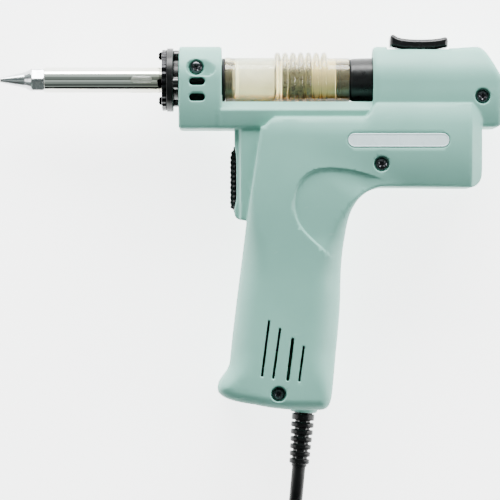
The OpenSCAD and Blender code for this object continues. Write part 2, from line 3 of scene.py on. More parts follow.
import bmesh
import bpy
import numpy as np
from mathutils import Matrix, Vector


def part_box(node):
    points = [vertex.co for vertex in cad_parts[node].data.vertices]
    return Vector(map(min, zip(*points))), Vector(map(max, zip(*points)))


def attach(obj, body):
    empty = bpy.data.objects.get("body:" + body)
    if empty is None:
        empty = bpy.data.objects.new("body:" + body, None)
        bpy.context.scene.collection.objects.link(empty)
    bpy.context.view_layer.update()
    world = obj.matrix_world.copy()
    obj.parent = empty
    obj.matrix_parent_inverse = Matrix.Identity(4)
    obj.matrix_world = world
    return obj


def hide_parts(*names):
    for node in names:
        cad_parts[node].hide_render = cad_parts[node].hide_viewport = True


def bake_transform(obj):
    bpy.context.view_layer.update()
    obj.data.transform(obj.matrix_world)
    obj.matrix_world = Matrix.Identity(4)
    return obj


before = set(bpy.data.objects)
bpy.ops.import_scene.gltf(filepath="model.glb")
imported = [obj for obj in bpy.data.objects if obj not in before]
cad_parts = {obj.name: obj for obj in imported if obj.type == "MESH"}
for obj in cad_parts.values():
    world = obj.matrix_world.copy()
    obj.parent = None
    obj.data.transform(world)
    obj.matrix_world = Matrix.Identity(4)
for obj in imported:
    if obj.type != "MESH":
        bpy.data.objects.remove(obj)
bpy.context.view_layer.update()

import openvdb as vdb
from mathutils import Vector, noise

# Gun coordinates, in millimetres: x back from the nozzle tip, y up from the barrel axis, z from
# the parting plane towards the left side, which faces up. AXIS is their origin in the row frame.
MM = 0.001
nozzle_low, nozzle_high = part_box("nozzle")
AXIS = np.array([nozzle_low.x, (nozzle_low.y + nozzle_high.y) / 2, (nozzle_low.z + nozzle_high.z) / 2])
AXIS_HEIGHT = AXIS[2] / MM

WALL = 2.2
BODY_HALF = 16.5
ARCH_Y = -0.5
BODY_LOW = -24
HEAD = (86, 106.5)
REAR = (178.5, 240)
SHELL_HALF = 21
GRIP_HALF = 19.5
FOOT_Y = -157.5
TROUGH_R = 14
RELIEF_X = 145.8
RELIEF_LEAN = radians(4.8)
POD_HALF = 12.5
LEDGE_Y = -10.9
SHELL_END_X = 225
SCOOP, SCOOP_R = (205.4, 172.6), 158
ROCKER_OPENING = (185.5, 215.1)
ROCKER_PIVOT = (200.65, 9.4)
HOSE_Y = -8
# The two ends of the slot-shaped pocket round the front screw, and of the name plate
POCKET = ((94, 5.2), (99.6, 5.2))
PLATE = ((169.6, -29.6), (211, -29.6))
# Housing screws: x, y and the height of the head's seat
SCREWS = [(94.4, 5.3, 11.4), (230.4, -8.5, 13.7), (182.3, -40.7, 17.8), (133.6, -149.7, 16.8)]
# Turns the sum of two distances at right angles into the distance to the slope between them
SLOPE = 0.7071
CRISP_ANGLE = radians(38)


def to_row(points):
    """Gun coordinates in millimetres to the row frame in metres."""
    return np.asarray(points, float) * MM + AXIS


def from_bench(points):
    """The same, for points whose z is a height above the bench."""
    return [tuple(to_row((x, y, z - AXIS_HEIGHT))) for x, y, z in points]


def on_bench(points):
    """Heights above the bench to gun coordinates."""
    return points - np.array([0, 0, AXIS_HEIGHT])


def add_object(name, data):
    thing = bpy.data.objects.new(name, data)
    bpy.context.scene.collection.objects.link(thing)
    return thing


def fill_ramp(node, stops):
    """Sets a colour ramp's stops, each a position and a colour."""
    elements = node.color_ramp.elements
    while len(elements) < len(stops):
        elements.new(0.5)
    for element, (position, colour) in zip(elements, stops):
        element.position = position
        element.color = colour


# ---- camera ----

VIEW_WIDTH = 0.24
VIEW_CENTRE = (0, -0.0126)

camera_data = bpy.data.cameras.new("camera")
camera_data.lens = 200
camera_data.sensor_width = 36
camera = add_object("camera", camera_data)
camera.location = (*VIEW_CENTRE, AXIS[2] + VIEW_WIDTH * camera_data.lens / camera_data.sensor_width)
bpy.context.scene.camera = camera


# ---- materials ----

def linear(colour):
    """An sRGB colour of 0 to 255 as linear RGBA."""
    channels = [c / 255 for c in colour]
    return [c / 12.92 if c <= 0.04045 else ((c + 0.055) / 1.055) ** 2.4 for c in channels] + [1]


class Finish:
    """A procedural material: a mottled colour, uneven roughness and a fine grain."""

    def __init__(self, name, colour, rough, metal=0.0, grain=(0.5, 0.02), mottle=(9, 0.05), rough_var=0.07):
        self.material = bpy.data.materials.new(name)
        self.material.use_nodes = True
        tree = self.material.node_tree
        self.shader = tree.nodes["Principled BSDF"]
        self.link = tree.links.new
        self.new_node = tree.nodes.new
        self.shader.inputs["Metallic"].default_value = metal
        self.place = self.new_node("ShaderNodeTexCoord").outputs["Object"]
        colour = linear(colour)
        dark = [c * (1 - mottle[1]) for c in colour[:3]] + [1]
        light = [min(1, c * (1 + mottle[1])) for c in colour[:3]] + [1]
        self.colour = self.ramp(self.noise(mottle[0], 4), [(0.35, dark), (0.65, light)])
        self.link(self.colour, self.shader.inputs["Base Color"])
        spread = self.span(self.noise(mottle[0] * 0.4, 3), rough - rough_var, rough + rough_var)
        self.link(spread, self.shader.inputs["Roughness"])
        self.bump(self.noise(grain[0], 3), grain[1])

    def set(self, **values):
        for name, value in values.items():
            self.shader.inputs[name.replace("_", " ")].default_value = value
        return self

    def noise(self, size, detail, stretch=(1, 1, 1)):
        """Noise with features of about this size in millimetres."""
        mapping = self.new_node("ShaderNodeMapping")
        mapping.inputs["Scale"].default_value = stretch
        self.link(self.place, mapping.inputs["Vector"])
        node = self.new_node("ShaderNodeTexNoise")
        node.inputs["Scale"].default_value = 1 / (size * MM)
        node.inputs["Detail"].default_value = detail
        self.link(mapping.outputs["Vector"], node.inputs["Vector"])
        return node.outputs["Fac"]

    def ramp(self, value, stops):
        node = self.new_node("ShaderNodeValToRGB")
        fill_ramp(node, stops)
        self.link(value, node.inputs["Fac"])
        return node.outputs["Color"]

    def span(self, value, low, high, source=(0.3, 0.7)):
        node = self.new_node("ShaderNodeMapRange")
        node.inputs["From Min"].default_value = source[0]
        node.inputs["From Max"].default_value = source[1]
        node.inputs["To Min"].default_value = max(0.02, low)
        node.inputs["To Max"].default_value = min(1, high)
        self.link(value, node.inputs["Value"])
        return node.outputs["Result"]

    def bump(self, value, depth):
        """Adds a grain of this depth in millimetres to the surface."""
        node = self.new_node("ShaderNodeBump")
        node.inputs["Strength"].default_value = 1
        node.inputs["Distance"].default_value = depth * MM
        self.link(value, node.inputs["Height"])
        normal = self.shader.inputs["Normal"]
        if normal.links:
            self.link(normal.links[0].from_socket, node.inputs["Normal"])
        self.link(node.outputs["Normal"], normal)
        return self

    def fade(self, axis, start, end, most):
        """A factor that grows from start to end, in gun coordinates along this axis."""
        node = self.new_node("ShaderNodeSeparateXYZ")
        self.link(self.place, node.inputs["Vector"])
        k = "XYZ".index(axis)
        return self.span(node.outputs[axis], 0, most, (start * MM + AXIS[k], end * MM + AXIS[k]))

    def overlay(self, colour, factor):
        """Lays a colour over the base where the factor is 1."""
        node = self.new_node("ShaderNodeMix")
        node.data_type = "RGBA"
        self.link(factor, node.inputs["Factor"])
        self.link(self.colour, node.inputs["A"])
        node.inputs["B"].default_value = linear(colour)
        self.colour = node.outputs["Result"]
        self.link(self.colour, self.shader.inputs["Base Color"])
        return self


def housing_finish():
    """Matt moulded ABS: a fine spark-eroded grain, and a few paler scuffs."""
    finish = Finish("moulded_housing", (114, 167, 154), 0.48, grain=(0.35, 0.02), mottle=(26, 0.035))
    finish.bump(finish.noise(1.6, 2), 0.012)
    scuffs = finish.noise(3.2, 6, (0.35, 1.5, 1))
    finish.overlay((146, 188, 178), finish.span(scuffs, 0, 0.35, (0.66, 0.82)))
    return finish.set(Specular_IOR_Level=0.4)


def barrel_finish():
    """Polished stainless steel, drawn along its length, with a straw heat tint."""
    finish = Finish("tinted_steel", (226, 228, 222), 0.07, 1, grain=(0.6, 0.0015), mottle=(14, 0.02),
                    rough_var=0.03)
    finish.bump(finish.noise(0.5, 3, (0.04, 1, 1)), 0.001)
    return finish.overlay((205, 196, 158), finish.fade("X", 58, 84, 0.55))


def tube_finish():
    """Clear plastic, with an amber glow painted along its lower side, where light through the tube gathers.
    """
    finish = Finish("clear_tube", (250, 240, 200), 0.06, grain=(3, 0.003), mottle=(7, 0.02), rough_var=0.03)
    finish.set(Transmission_Weight=0.95, Alpha=0.88, IOR=1.45)
    # Painted glow: amber laid along the tube's lower side, where light through it gathers
    return finish.overlay((228, 166, 64), finish.fade("Y", -6.8, -8.6, 0.85))


def pipe_finish():
    """Matt plating, with painted shade on the run inside the head, where the vents show it."""
    finish = Finish("matt_plated_pipe", (232, 236, 234), 0.5, 0.3, grain=(0.4, 0.01), mottle=(3, 0.04))
    # Painted shade: the pipe darkens from the flange back into the head, as seen through its vents
    return finish.overlay((30, 30, 32), finish.fade("X", 78, 86, 0.9))


def wool_finish():
    """Pressed ceramic wool with dark specks of caught solder."""
    finish = Finish("filter_wool", (112, 116, 104), 0.9, grain=(0.35, 0.12), mottle=(1.8, 0.4))
    return finish.overlay((12, 12, 12), finish.span(finish.noise(1.3, 3), 0, 1, (0.52, 0.6)))


def laminate_finish():
    """Green solder mask with paler tracks under it."""
    finish = Finish("circuit_laminate", (38, 92, 60), 0.35, grain=(0.3, 0.01), mottle=(5, 0.1))
    tracks = finish.noise(3, 1, (1, 0.3, 1))
    return finish.overlay((70, 130, 86), finish.span(tracks, 0, 0.8, (0.5, 0.53)))


# Material name, sRGB colour, roughness and metal; size and depth of the grain, and size and share of
# the mottle
PLAIN_FINISHES = {
    "nozzle": ("plated_copper", (196, 198, 200), 0.2, 1, (0.3, 0.01), (2.5, 0.1)),
    "steel": ("drawn_steel", (206, 208, 212), 0.3, 1, (0.4, 0.006), (3, 0.06)),
    "black_steel": ("black_oxide", (74, 74, 78), 0.14, 1, (0.35, 0.012), (2, 0.2)),
    "flange": ("burnt_flange", (26, 26, 28), 0.16, 0.8, (0.5, 0.04), (1.4, 0.35)),
    "black": ("black_plastic", (9, 9, 10), 0.24, 0, (0.4, 0.006), (6, 0.12)),
    "dark": ("baked_plastic", (7, 7, 8), 0.32, 0, (0.5, 0.004), (6, 0.12)),
    "gloss_black": ("bakelite", (7, 7, 8), 0.1, 0, (2, 0.004), (8, 0.1), 0.04),
    "rubber": ("black_rubber", (13, 13, 14), 0.55, 0, (0.3, 0.02), (3, 0.12)),
    "vinyl": ("cord_vinyl", (10, 10, 11), 0.4, 0, (0.7, 0.02), (7, 0.1)),
    "relief": ("relief_vinyl", (7, 7, 8), 0.24, 0, (0.5, 0.015), (4, 0.12)),
    "label": ("label_film", (226, 234, 214), 0.16, 0, (0.6, 0.004), (5, 0.04)),
    "paper": ("ceramic_paper", (250, 244, 216), 0.8, 0, (0.5, 0.03), (2.5, 0.04)),
    "plate": ("plate_film", (206, 226, 230), 0.3, 0, (0.4, 0.004), (7, 0.03)),
    "ceramic": ("ceramic", (226, 220, 204), 0.55, 0, (0.4, 0.02), (3, 0.06)),
    "brass": ("brass", (196, 160, 92), 0.25, 1, (0.4, 0.006), (2.5, 0.08)),
    "hose": ("silicone_hose", (214, 206, 188), 0.45, 0, (0.5, 0.01), (5, 0.04)),
    "resin": ("component_resin", (52, 56, 66), 0.4, 0, (0.5, 0.02), (3, 0.15)),
    "winding": ("copper_winding", (140, 78, 40), 0.35, 0.8, (0.3, 0.06), (1.5, 0.2)),
    "spring": ("spring_steel", (176, 178, 182), 0.2, 1, (0.3, 0.004), (2, 0.05)),
    "clamp": ("nylon_clamp", (206, 204, 192), 0.5, 0, (0.4, 0.012), (4, 0.04)),
    "signal": ("red_plunger", (160, 46, 38), 0.35, 0, (0.4, 0.01), (2, 0.08)),
}
FINISHES = {
    "housing": housing_finish(),
    "barrel": barrel_finish(),
    "tube": tube_finish(),
    "pipe": pipe_finish(),
    "wool": wool_finish(),
    "laminate": laminate_finish(),
}
for finish_name, values in PLAIN_FINISHES.items():
    FINISHES[finish_name] = Finish(*values)
FINISHES["label"].set(Alpha=0.3)
FINISHES["dark"].set(Specular_IOR_Level=0.35)
for finish_name in ("relief", "vinyl", "rubber"):
    FINISHES[finish_name].set(Specular_IOR_Level=0.22)
FINISHES["gloss_black"].set(Coat_Weight=0.5, Coat_Roughness=0.06)


# ---- distance fields, in millimetres ----
# A field is negative inside a shape. Shapes are joined and cut with round edges, then meshed.

class Grid:
    def __init__(self, low, high, step):
        counts = [int(ceil((b - a) / step)) + 1 for a, b in zip(low, high)]
        axes = [a + step * np.arange(n, dtype=np.float32) for a, n in zip(low, counts)]
        self.low = np.array(low, float)
        self.step = step
        self.x = axes[0][:, None, None]
        self.y = axes[1][None, :, None]
        self.z = axes[2][None, None, :]
        self.axes = self.x, self.y, self.z


def both(a, b, r=0.0):
    """Where both shapes are, with the edge rounded to radius r."""
    if np.isscalar(r) and r == 0:
        return np.maximum(a, b)
    u = np.maximum(a + r, 0)
    v = np.maximum(b + r, 0)
    return np.minimum(np.maximum(a, b), -r) + np.sqrt(u * u + v * v)


def either(a, b, r=0.0):
    """Both shapes joined, with a fillet of radius r."""
    return -both(-a, -b, r)


def cut(a, b, r=0.0):
    """The first shape without the second, with the edge rounded to radius r."""
    return both(a, -b, r)


def slab(v, low, high):
    """Between two parallel planes."""
    return np.maximum(low - v, v - high)


def outline(points, u, v):
    """Signed distance to a closed outline in the plane of u and v."""
    nearest = np.full(np.broadcast(u, v).shape, 1e9, np.float32)
    inside = np.zeros(nearest.shape, bool)
    for (ax, ay), (bx, by) in zip(points, points[1:] + points[:1]):
        ex, ey = bx - ax, by - ay
        length2 = ex * ex + ey * ey
        if length2 < 1e-9:
            continue
        t = np.clip(((u - ax) * ex + (v - ay) * ey) / length2, 0, 1)
        nearest = np.minimum(nearest, (u - ax - t * ex) ** 2 + (v - ay - t * ey) ** 2)
        if ay != by:
            crosses = ((ay > v) != (by > v)) & (u < ax + (v - ay) * ex / ey)
            inside ^= crosses
    return np.where(inside, -np.sqrt(nearest), np.sqrt(nearest)).astype(np.float32)


def capsule(a, b, width, u, v):
    """Signed distance to a slot with round ends between two points."""
    ex, ey = b[0] - a[0], b[1] - a[1]
    t = np.clip(((u - a[0]) * ex + (v - a[1]) * ey) / (ex * ex + ey * ey), 0, 1)
    return np.hypot(u - a[0] - t * ex, v - a[1] - t * ey) - width / 2


def arc(centre, radius, start, end, steps=8):
    """Points on a circle between two angles in degrees."""
    angles = [radians(start + (end - start) * i / steps) for i in range(steps + 1)]
    return [(centre[0] + radius * cos(a), centre[1] + radius * sin(a)) for a in angles]


def bezier(a, b, c, d, steps=14):
    points = []
    for i in range(steps + 1):
        t = i / steps
        s = 1 - t
        weights = (s ** 3, 3 * s * s * t, 3 * s * t * t, t ** 3)
        points.append(tuple(sum(w * p[k] for w, p in zip(weights, (a, b, c, d))) for k in (0, 1)))
    return points


def smooth(t):
    """An even step from 0 to 1 while t goes from 0 to 1."""
    t = np.clip(t, 0, 1)
    return t * t * (3 - 2 * t)


def sample(field, points):
    """The field at these index-space points, by trilinear interpolation."""
    limit = np.array(field.shape) - 1.001
    points = np.clip(points, 0, limit)
    base = points.astype(int)
    f = points - base
    total = np.zeros(len(points))
    for corner in np.ndindex(2, 2, 2):
        weight = np.prod(np.where(corner, f, 1 - f), axis=1)
        i, j, k = (base + corner).T
        total += weight * field[i, j, k]
    return total


def add_mesh(name, vertices, faces, finish, body, replaced=(), normals=None):
    mesh = bpy.data.meshes.new(name)
    mesh.from_pydata([tuple(v) for v in vertices], [], faces)
    mesh.validate()
    mesh.materials.append(FINISHES[finish].material)
    mesh.shade_smooth()
    if normals is not None:
        mesh.normals_split_custom_set_from_vertices([tuple(n) for n in normals])
    piece = add_object(name, mesh)
    if body:
        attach(piece, body)
    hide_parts(*replaced)
    return piece


def field_surface(grid, field, adaptivity=0.0, mirror=False, place=None):
    """Vertices in gun coordinates, faces and normals of the field's surface."""
    volume = vdb.FloatGrid(background=float(grid.step * 3))
    volume.copyFromArray(np.ascontiguousarray(field, np.float32))
    points, triangles, quads = volume.convertToPolygons(0.0, adaptivity)
    points = np.asarray(points, float)
    normals = np.empty_like(points)
    for axis in range(3):
        offset = np.zeros(3)
        offset[axis] = 0.6
        normals[:, axis] = sample(field, points + offset) - sample(field, points - offset)
    faces = [tuple(int(i) for i in f) for f in triangles] + [tuple(int(i) for i in f) for f in quads]
    corner = np.array([points[list(f[:3])] for f in faces[:2000]])
    turned = np.cross(corner[:, 1] - corner[:, 0], corner[:, 2] - corner[:, 0])
    facing = (turned * normals[[f[0] for f in faces[:2000]]]).sum() > 0
    if not facing:
        faces = [f[::-1] for f in faces]
    points = points * grid.step + grid.low
    if mirror:
        points[:, 2] *= -1
        normals[:, 2] *= -1
        faces = [f[::-1] for f in faces]
    if place:
        points, normals = place(points), place(points + normals) - place(points)
    normals /= np.maximum(np.linalg.norm(normals, axis=1, keepdims=True), 1e-9)
    return points, faces, normals


def add_field(name, parts, finish, body, replaced=()):
    """One piece from one or more surfaces made by field_surface."""
    faces, count = [], 0
    for points, part_faces, _ in parts:
        faces += [tuple(i + count for i in f) for f in part_faces]
        count += len(points)
    vertices, normals = (np.vstack([part[k] for part in parts]) for k in (0, 2))
    return add_mesh(name, to_row(vertices), faces, finish, body, replaced, normals)


# ---- turned pieces ----

def rounded(profile, radius, steps=4):
    """The profile with each corner that turns sharply replaced by a small arc."""
    points = []
    for i, here in enumerate(profile):
        before, after = Vector(profile[i - 1]), Vector(profile[(i + 1) % len(profile)])
        here = Vector(here)
        a, b = before - here, after - here
        reach = min(radius, a.length * 0.45, b.length * 0.45)
        if a.angle(b) > radians(165) or reach < 1e-4:
            points.append(tuple(here))
            continue
        start, end = here + a.normalized() * reach, here + b.normalized() * reach
        for k in range(steps + 1):
            t = k / steps
            points.append(tuple(start * (1 - t) ** 2 + here * 2 * t * (1 - t) + end * t * t))
    return points


def turned_surface(profile, sides=96, centre=(0, 0)):
    """A closed profile of (x, radius) turned about an axis along x at this y and z."""
    count = len(profile)
    vertices = []
    for i in range(sides):
        a = 2 * pi * i / sides
        vertices += [(x, centre[0] + r * cos(a), centre[1] + r * sin(a)) for x, r in profile]
    faces = []
    for i in range(sides):
        j = (i + 1) % sides
        for k in range(count):
            m = (k + 1) % count
            if profile[k][1] < 1e-6 and profile[m][1] < 1e-6:
                continue
            if profile[k][1] < 1e-6:
                faces.append((i * count + k, i * count + m, j * count + m))
            elif profile[m][1] < 1e-6:
                faces.append((i * count + k, i * count + m, j * count + k))
            else:
                faces.append((i * count + k, i * count + m, j * count + m, j * count + k))
    return vertices, faces


def add_turned(name, profile, finish, body, replaced=(), sides=96, edge=0.25, centre=(0, 0)):
    """A turned piece with its corners rounded off."""
    vertices, faces = turned_surface(rounded(profile, edge), sides, centre)
    piece = add_mesh(name, to_row(vertices), faces, finish, body, replaced)
    weld(piece)
    return piece


def weld(piece):
    """Joins doubled points, faces outwards, and keeps true corners crisp."""
    shape = bmesh.new()
    shape.from_mesh(piece.data)
    bmesh.ops.remove_doubles(shape, verts=shape.verts, dist=1e-6)
    bmesh.ops.recalc_face_normals(shape, faces=shape.faces)
    shape.to_mesh(piece.data)
    shape.free()
    piece.data.set_sharp_from_angle(angle=CRISP_ANGLE)


def skin(rings, sides, first=0, stride=None, flip=False):
    """Faces from each ring of points to the next, starting at this point."""
    stride = stride or sides
    faces = []
    for a in range(first, first + rings * stride, stride):
        for k in range(sides):
            i, j = k, (k + 1) % sides
            if flip:
                i, j = j, i
            faces.append((a + i, a + j, a + stride + j, a + stride + i))
    return faces


def ring(x0, x1, outer, inner):
    return [(x0, inner), (x0, outer), (x1, outer), (x1, inner)]


# ---- mains cord, its plug and tie ----

CORD_D = 6.5
LEAD = [(143.4, -185.4, 21), (142.9, -191, 20.8), (142.4, -197, 19.4), (141.9, -203, 16.6),
        (141.4, -209, 12.9), (140.9, -215, 9.3), (140.4, -221, 6.4), (140, -227, 4.5),
        (139.7, -233, 3.6), (139.5, -239, 3.3), (139.5, -247, 3.6), (139.5, -256, 4.05)]
TAIL = [(87, -301.4, 10.3), (80, -300.8, 9.4), (73, -299.6, 8.3), (66, -298.2, 7.6),
        (60, -297.3, 7.5), (53.85, -297, 7.5)]
COIL_X, COIL_Y, COIL_OUT = 93.85, -256, 45.65
COIL_TURNS, COIL_STEPS = 6.25, 16
COIL_LOW, COIL_HIGH = 4.05, 10.55
PLUG_END, PLUG_Y, PLUG_Z = 53.85, -297, 7.5
PLUG_LENGTH = 36
BLADE_OUT, BLADE_LENGTH, BLADE_OFFSET = 17, 18.8, 6.35


def coil_points():
    """Turns that wind inwards on the bench, climb one diameter, and wind outwards on top."""
    half = COIL_TURNS / 2
    points = []
    for i in range(1, int(COIL_TURNS * COIL_STEPS) + 1):
        turn = i / COIL_STEPS
        radius = COIL_OUT - CORD_D * (half - abs(turn - half))
        climb = float(smooth((turn - half + 0.3) / 0.3))
        angle = -2 * pi * turn
        points.append((COIL_X + radius * cos(angle), COIL_Y + radius * sin(angle),
                       COIL_LOW + (COIL_HIGH - COIL_LOW) * climb))
    return points


cord_data = bpy.data.curves.new("mains_cord_run", "CURVE")
cord_data.dimensions = "3D"
cord_data.bevel_depth = CORD_D / 2 * MM
cord_data.bevel_resolution = 5
cord_data.use_fill_caps = True
cord_data.resolution_u = 4
cord_spline = cord_data.splines.new("BEZIER")
cord_route = from_bench(LEAD + coil_points() + TAIL)
cord_spline.bezier_points.add(len(cord_route) - 1)
for knot, place in zip(cord_spline.bezier_points, cord_route):
    knot.co = place
    knot.handle_left_type = knot.handle_right_type = "AUTO"
cord_data.materials.append(FINISHES["vinyl"].material)
cord_piece = add_object("mains_cord_run", cord_data)
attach(cord_piece, "root")
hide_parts("mains_cord", "mains_cord_coil", "mains_cord_end")


def add_relief():
    """Moulded strain relief: a solid band, then ribs on two spines with windows between."""
    grid = Grid((-7.5, -6.2, -7.5), (7.5, 29, 7.5), 0.17)
    across, along, up = grid.axes
    radius = np.hypot(across, up)
    core = both(radius - (CORD_D / 2 + 0.45), slab(along, -4, 27.95), 0.2)
    shape = either(core, both(radius - 6.15, slab(along, -5, -3.35), 0.3))
    shape = either(shape, both(radius - 4.45, slab(along, -4, 3.5)))
    shape = either(shape, both(radius - 5.45, slab(along, 2.6, 5.6), 0.4))
    for i in range(6):
        start = 6.6 + 3.5 * i
        rib = both(radius - (5.5 - 0.13 * i), slab(along, start, start + 2.5), 0.7)
        shape = either(shape, rib, 0.2)
    spine = both(np.abs(across) - 2, radius - (5.3 - 0.032 * along), 0.5)
    shape = either(shape, both(spine, slab(along, 3, 26.4), 0.3), 0.3)
    shape = cut(shape, both(radius - (CORD_D / 2 - 0.2), slab(along, 24, 40)))

    def lean(points):
        x, s, z = points.T
        return np.column_stack([
            RELIEF_X + x * cos(RELIEF_LEAN) - s * sin(RELIEF_LEAN),
            FOOT_Y - s * cos(RELIEF_LEAN) - x * sin(RELIEF_LEAN),
            z,
        ])

    # The lean turns the axes into a left-handed set, so the faces turn over
    points, faces, normals = field_surface(grid, shape, 0.02, place=lean)
    return add_field("strain_relief_moulding", [(points, [f[::-1] for f in faces], normals)], "relief",
                     "root", ["strain_relief"])


def add_plug():
    """A flat two-pin plug with grip grooves and a tapered boot, lying beside the coil."""
    front = PLUG_END - PLUG_LENGTH
    grid = Grid((front - 1, PLUG_Y - 13, -0.6), (PLUG_END + 1, PLUG_Y + 13, 15.6), 0.3)
    x, y, z = grid.x, grid.y - PLUG_Y, grid.z
    half_width = 12 - 5.4 * smooth((x - front - 12) / 16)
    half_height = 7.5 - 2.2 * smooth((x - front - 14) / 16)
    body = both(np.abs(y) - half_width, np.abs(z - PLUG_Z) - half_height, 3.2)
    body = both(body, slab(x, front, PLUG_END - 8), 1.2)
    boot = np.hypot(y, z - PLUG_Z) - (4.6 + 0.05 * (PLUG_END - x))
    shape = either(body, both(boot, slab(x, PLUG_END - 12, PLUG_END), 0.5), 1.0)
    for i in range(5):
        groove = slab(x, front + 13 + 3 * i, front + 14.4 + 3 * i)
        shape = cut(shape, both(groove, half_height - 0.7 - np.abs(z - PLUG_Z)), 0.4)
    surface = field_surface(grid, shape, 0.05, place=on_bench)
    return add_field("mains_plug_moulding", [surface], "vinyl", "root", ["mains_plug"])


def add_blades():
    """Two flat blades with a hole near the tip of each."""
    parts = []
    tip = PLUG_END - PLUG_LENGTH - BLADE_OUT
    for side in (-BLADE_OFFSET, BLADE_OFFSET):
        grid = Grid((tip - 0.5, PLUG_Y + side - 1.3, PLUG_Z - 3.8),
                    (tip + 19.5, PLUG_Y + side + 1.3, PLUG_Z + 3.8), 0.14)
        x, y, z = grid.x, grid.y - PLUG_Y - side, grid.z - PLUG_Z
        blade = both(slab(x, tip, tip + BLADE_LENGTH), np.abs(z) - 3.15, 1.1)
        blade = both(blade, np.abs(y) - 0.75, 0.25)
        blade = cut(blade, np.hypot(x - tip - 4.2, z) - 1.5 + 0 * y, 0.2)
        parts.append(field_surface(grid, blade, 0.05, place=on_bench))
    return add_field("plug_blades_pressed", parts, "brass", "root", ["plug_blades"])


def add_tie():
    """A thin vinyl strap wrapped round the bundle of turns."""
    inner = COIL_OUT - CORD_D * COIL_TURNS / 2 - CORD_D / 2
    outer = COIL_OUT + CORD_D / 2
    low, high = 0.8, COIL_HIGH + CORD_D / 2
    centre_x = COIL_X - (inner + outer) / 2
    grid = Grid((COIL_X - outer - 2, COIL_Y - 5, -0.4), (COIL_X - inner + 2, COIL_Y + 5, high + 2), 0.2)
    x, y, z = grid.x - centre_x, grid.y - COIL_Y, grid.z
    bundle = both(np.abs(x) - (outer - inner) / 2, slab(z, low, high), 2.4)
    band = both(both(bundle - 0.78, -bundle - 0.02), np.abs(y) - 4, 0.25)
    surface = field_surface(grid, band, 0.05, place=on_bench)
    return add_field("cord_tie_strap", [surface], "vinyl", "root", ["cord_tie"])


relief_piece = add_relief()
plug_piece = add_plug()
blades_piece = add_blades()
tie_piece = add_tie()
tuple(cord_route[0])


# ---- housing halves ----

def lower_outline():
    """The motor shell and the grip in one outline, seen from the left side: lines and curves."""
    points = arc((224.9, -13.2), 1.2, 90, 45, 3) + arc((229, -17.3), 1.2, 45, 0, 3)
    points += arc((223.8, -45.5), 6.5, 0, -90) + [(182, -51.6)]
    for curve in [
        ((170, -54), (166.5, -64), (165.4, -74)),
        ((163.9, -82), (163.3, -90), (163.2, -100), 6),
        ((163.2, -112), (161.5, -126), (159.1, -149)),
        ((158.5, -154), (157.5, FOOT_Y), (153.5, FOOT_Y), 8),
        ((145, FOOT_Y),),
        ((136, FOOT_Y), (130, -156.6), (122, -155), 6),
        ((113, -153.6), (105, -152), (104.5, -147.5)),
        ((104, -142.5), (110.4, -141), (110.4, -134)),
        ((112.5, -112), (115.5, -92), (118.2, -69)),
        ((125.2, -23.4),),
        ((128.5, -22.8), (129, -18.5), (134, -18.5), 8),
        ((173.4, -18.5),),
        ((177.2, -18.5), (177, -12), (181, -12), 10),
    ]:
        points += curve if len(curve) == 1 else bezier(points[-1], *curve)
    return points


def palm_outline():
    """The shallow dish for the ball of the thumb."""
    return (bezier((190, -50.5), (172, -43.5), (140.5, -33), (140.5, -60.4), 48)
            + bezier((140.5, -60.4), (140.5, -72), (150.5, -77.5), (158, -85), 36)
            + [(175, -85), (190, -60)])


def upper_shape(x, y, z):
    """Head, rear and the cradle between them: an arch on straight sides."""
    arch = np.where(y > ARCH_Y, np.hypot(y - ARCH_Y, z), z) - BODY_HALF
    arch = arch + 3 * np.clip((-5 - y) / 19, 0, 1) ** 2
    section = both(arch, BODY_LOW - y, 1.6)
    head = both(slab(x, *HEAD), section, 1.3)
    slope = [(REAR[0], BODY_LOW)] + arc((236, -20), 4, 270, 360) + [(240, 0), (226.8, 24), (REAR[0], 24)]
    rear = both(outline(slope, x, y), section, 2.4)
    rear = cut(rear, np.hypot(x - SCOOP[0], y - SCOOP[1]) - SCOOP_R, 0.4)
    cradle = both(both(y - LEDGE_Y, (y + z - 0.7) * SLOPE, 0.3), section, 0.3)
    cradle = both(cradle, slab(x, HEAD[1] - 2, REAR[0] + 2))
    return either(either(head, rear), cradle, 0.4)


def pod_shape(x, y, z):
    """The trigger's housing: a lower front strip, then a bevel up to its flat side."""
    edge = [(130, -22), (112.5, -22), (112.5, -31), (113.5, -37), (113.6, -57), (112.4, -63)]
    edge += arc((115.6, -64), 3.1, 195, 270, 5) + [(123.5, -68.2), (130, -68.2)]
    side = POD_HALF - 2.6 * (1 - smooth((x - 114.6) / 1.1)) - 0.6 * np.clip((-24 - y) / 44, 0, 1)
    return both(outline(edge, x, y), z - side, 0.8)


def lower_shape(x, y, z):
    """Shell and grip. The edges are tight round the shell and full round the grip. The left side
    falls away towards the shell's front, top and crown, and is dished for the palm."""
    plan = outline(lower_outline(), x, y)
    to_grip = smooth((-50 - y) / 45)
    to_foot = smooth((-128 - y) / 24)
    edge = 1.2 + 12.6 * to_grip - 8.4 * to_foot - 0.5 * smooth((x - 217) / 5)
    to_heel = smooth((-95 - y) / 60)
    top = SHELL_HALF - (SHELL_HALF - GRIP_HALF) * (to_grip - to_heel)
    shell = 1 - smooth((-78 - y) / 25)
    from_left = x - (118.2 + (y + 69) * 0.153)
    from_top = -18.5 - y + 6.5 * smooth((x - 173) / 8)
    top = top - shell * 2.2 * np.clip(1 - from_left / 15, 0, 1) ** 2
    top = top - shell * 1.2 * np.clip(1 - from_top / 9, 0, 1) ** 2
    top = top - shell * 2.3 * np.clip((y + 30) / 17, -1.3, 1) ** 2 * smooth((x - 150) / 40 + (y + 45) / 30)
    palm = smooth(-outline(palm_outline(), x, y) / 0.9)
    fade = smooth((185 - x) / 12) * smooth((y + 88) / 14)
    top = top - 1.2 * palm * fade
    body = both(plan, z - top, edge)
    chamfer = (z - top + x - SHELL_END_X) * SLOPE
    return both(body, chamfer, 0.25)


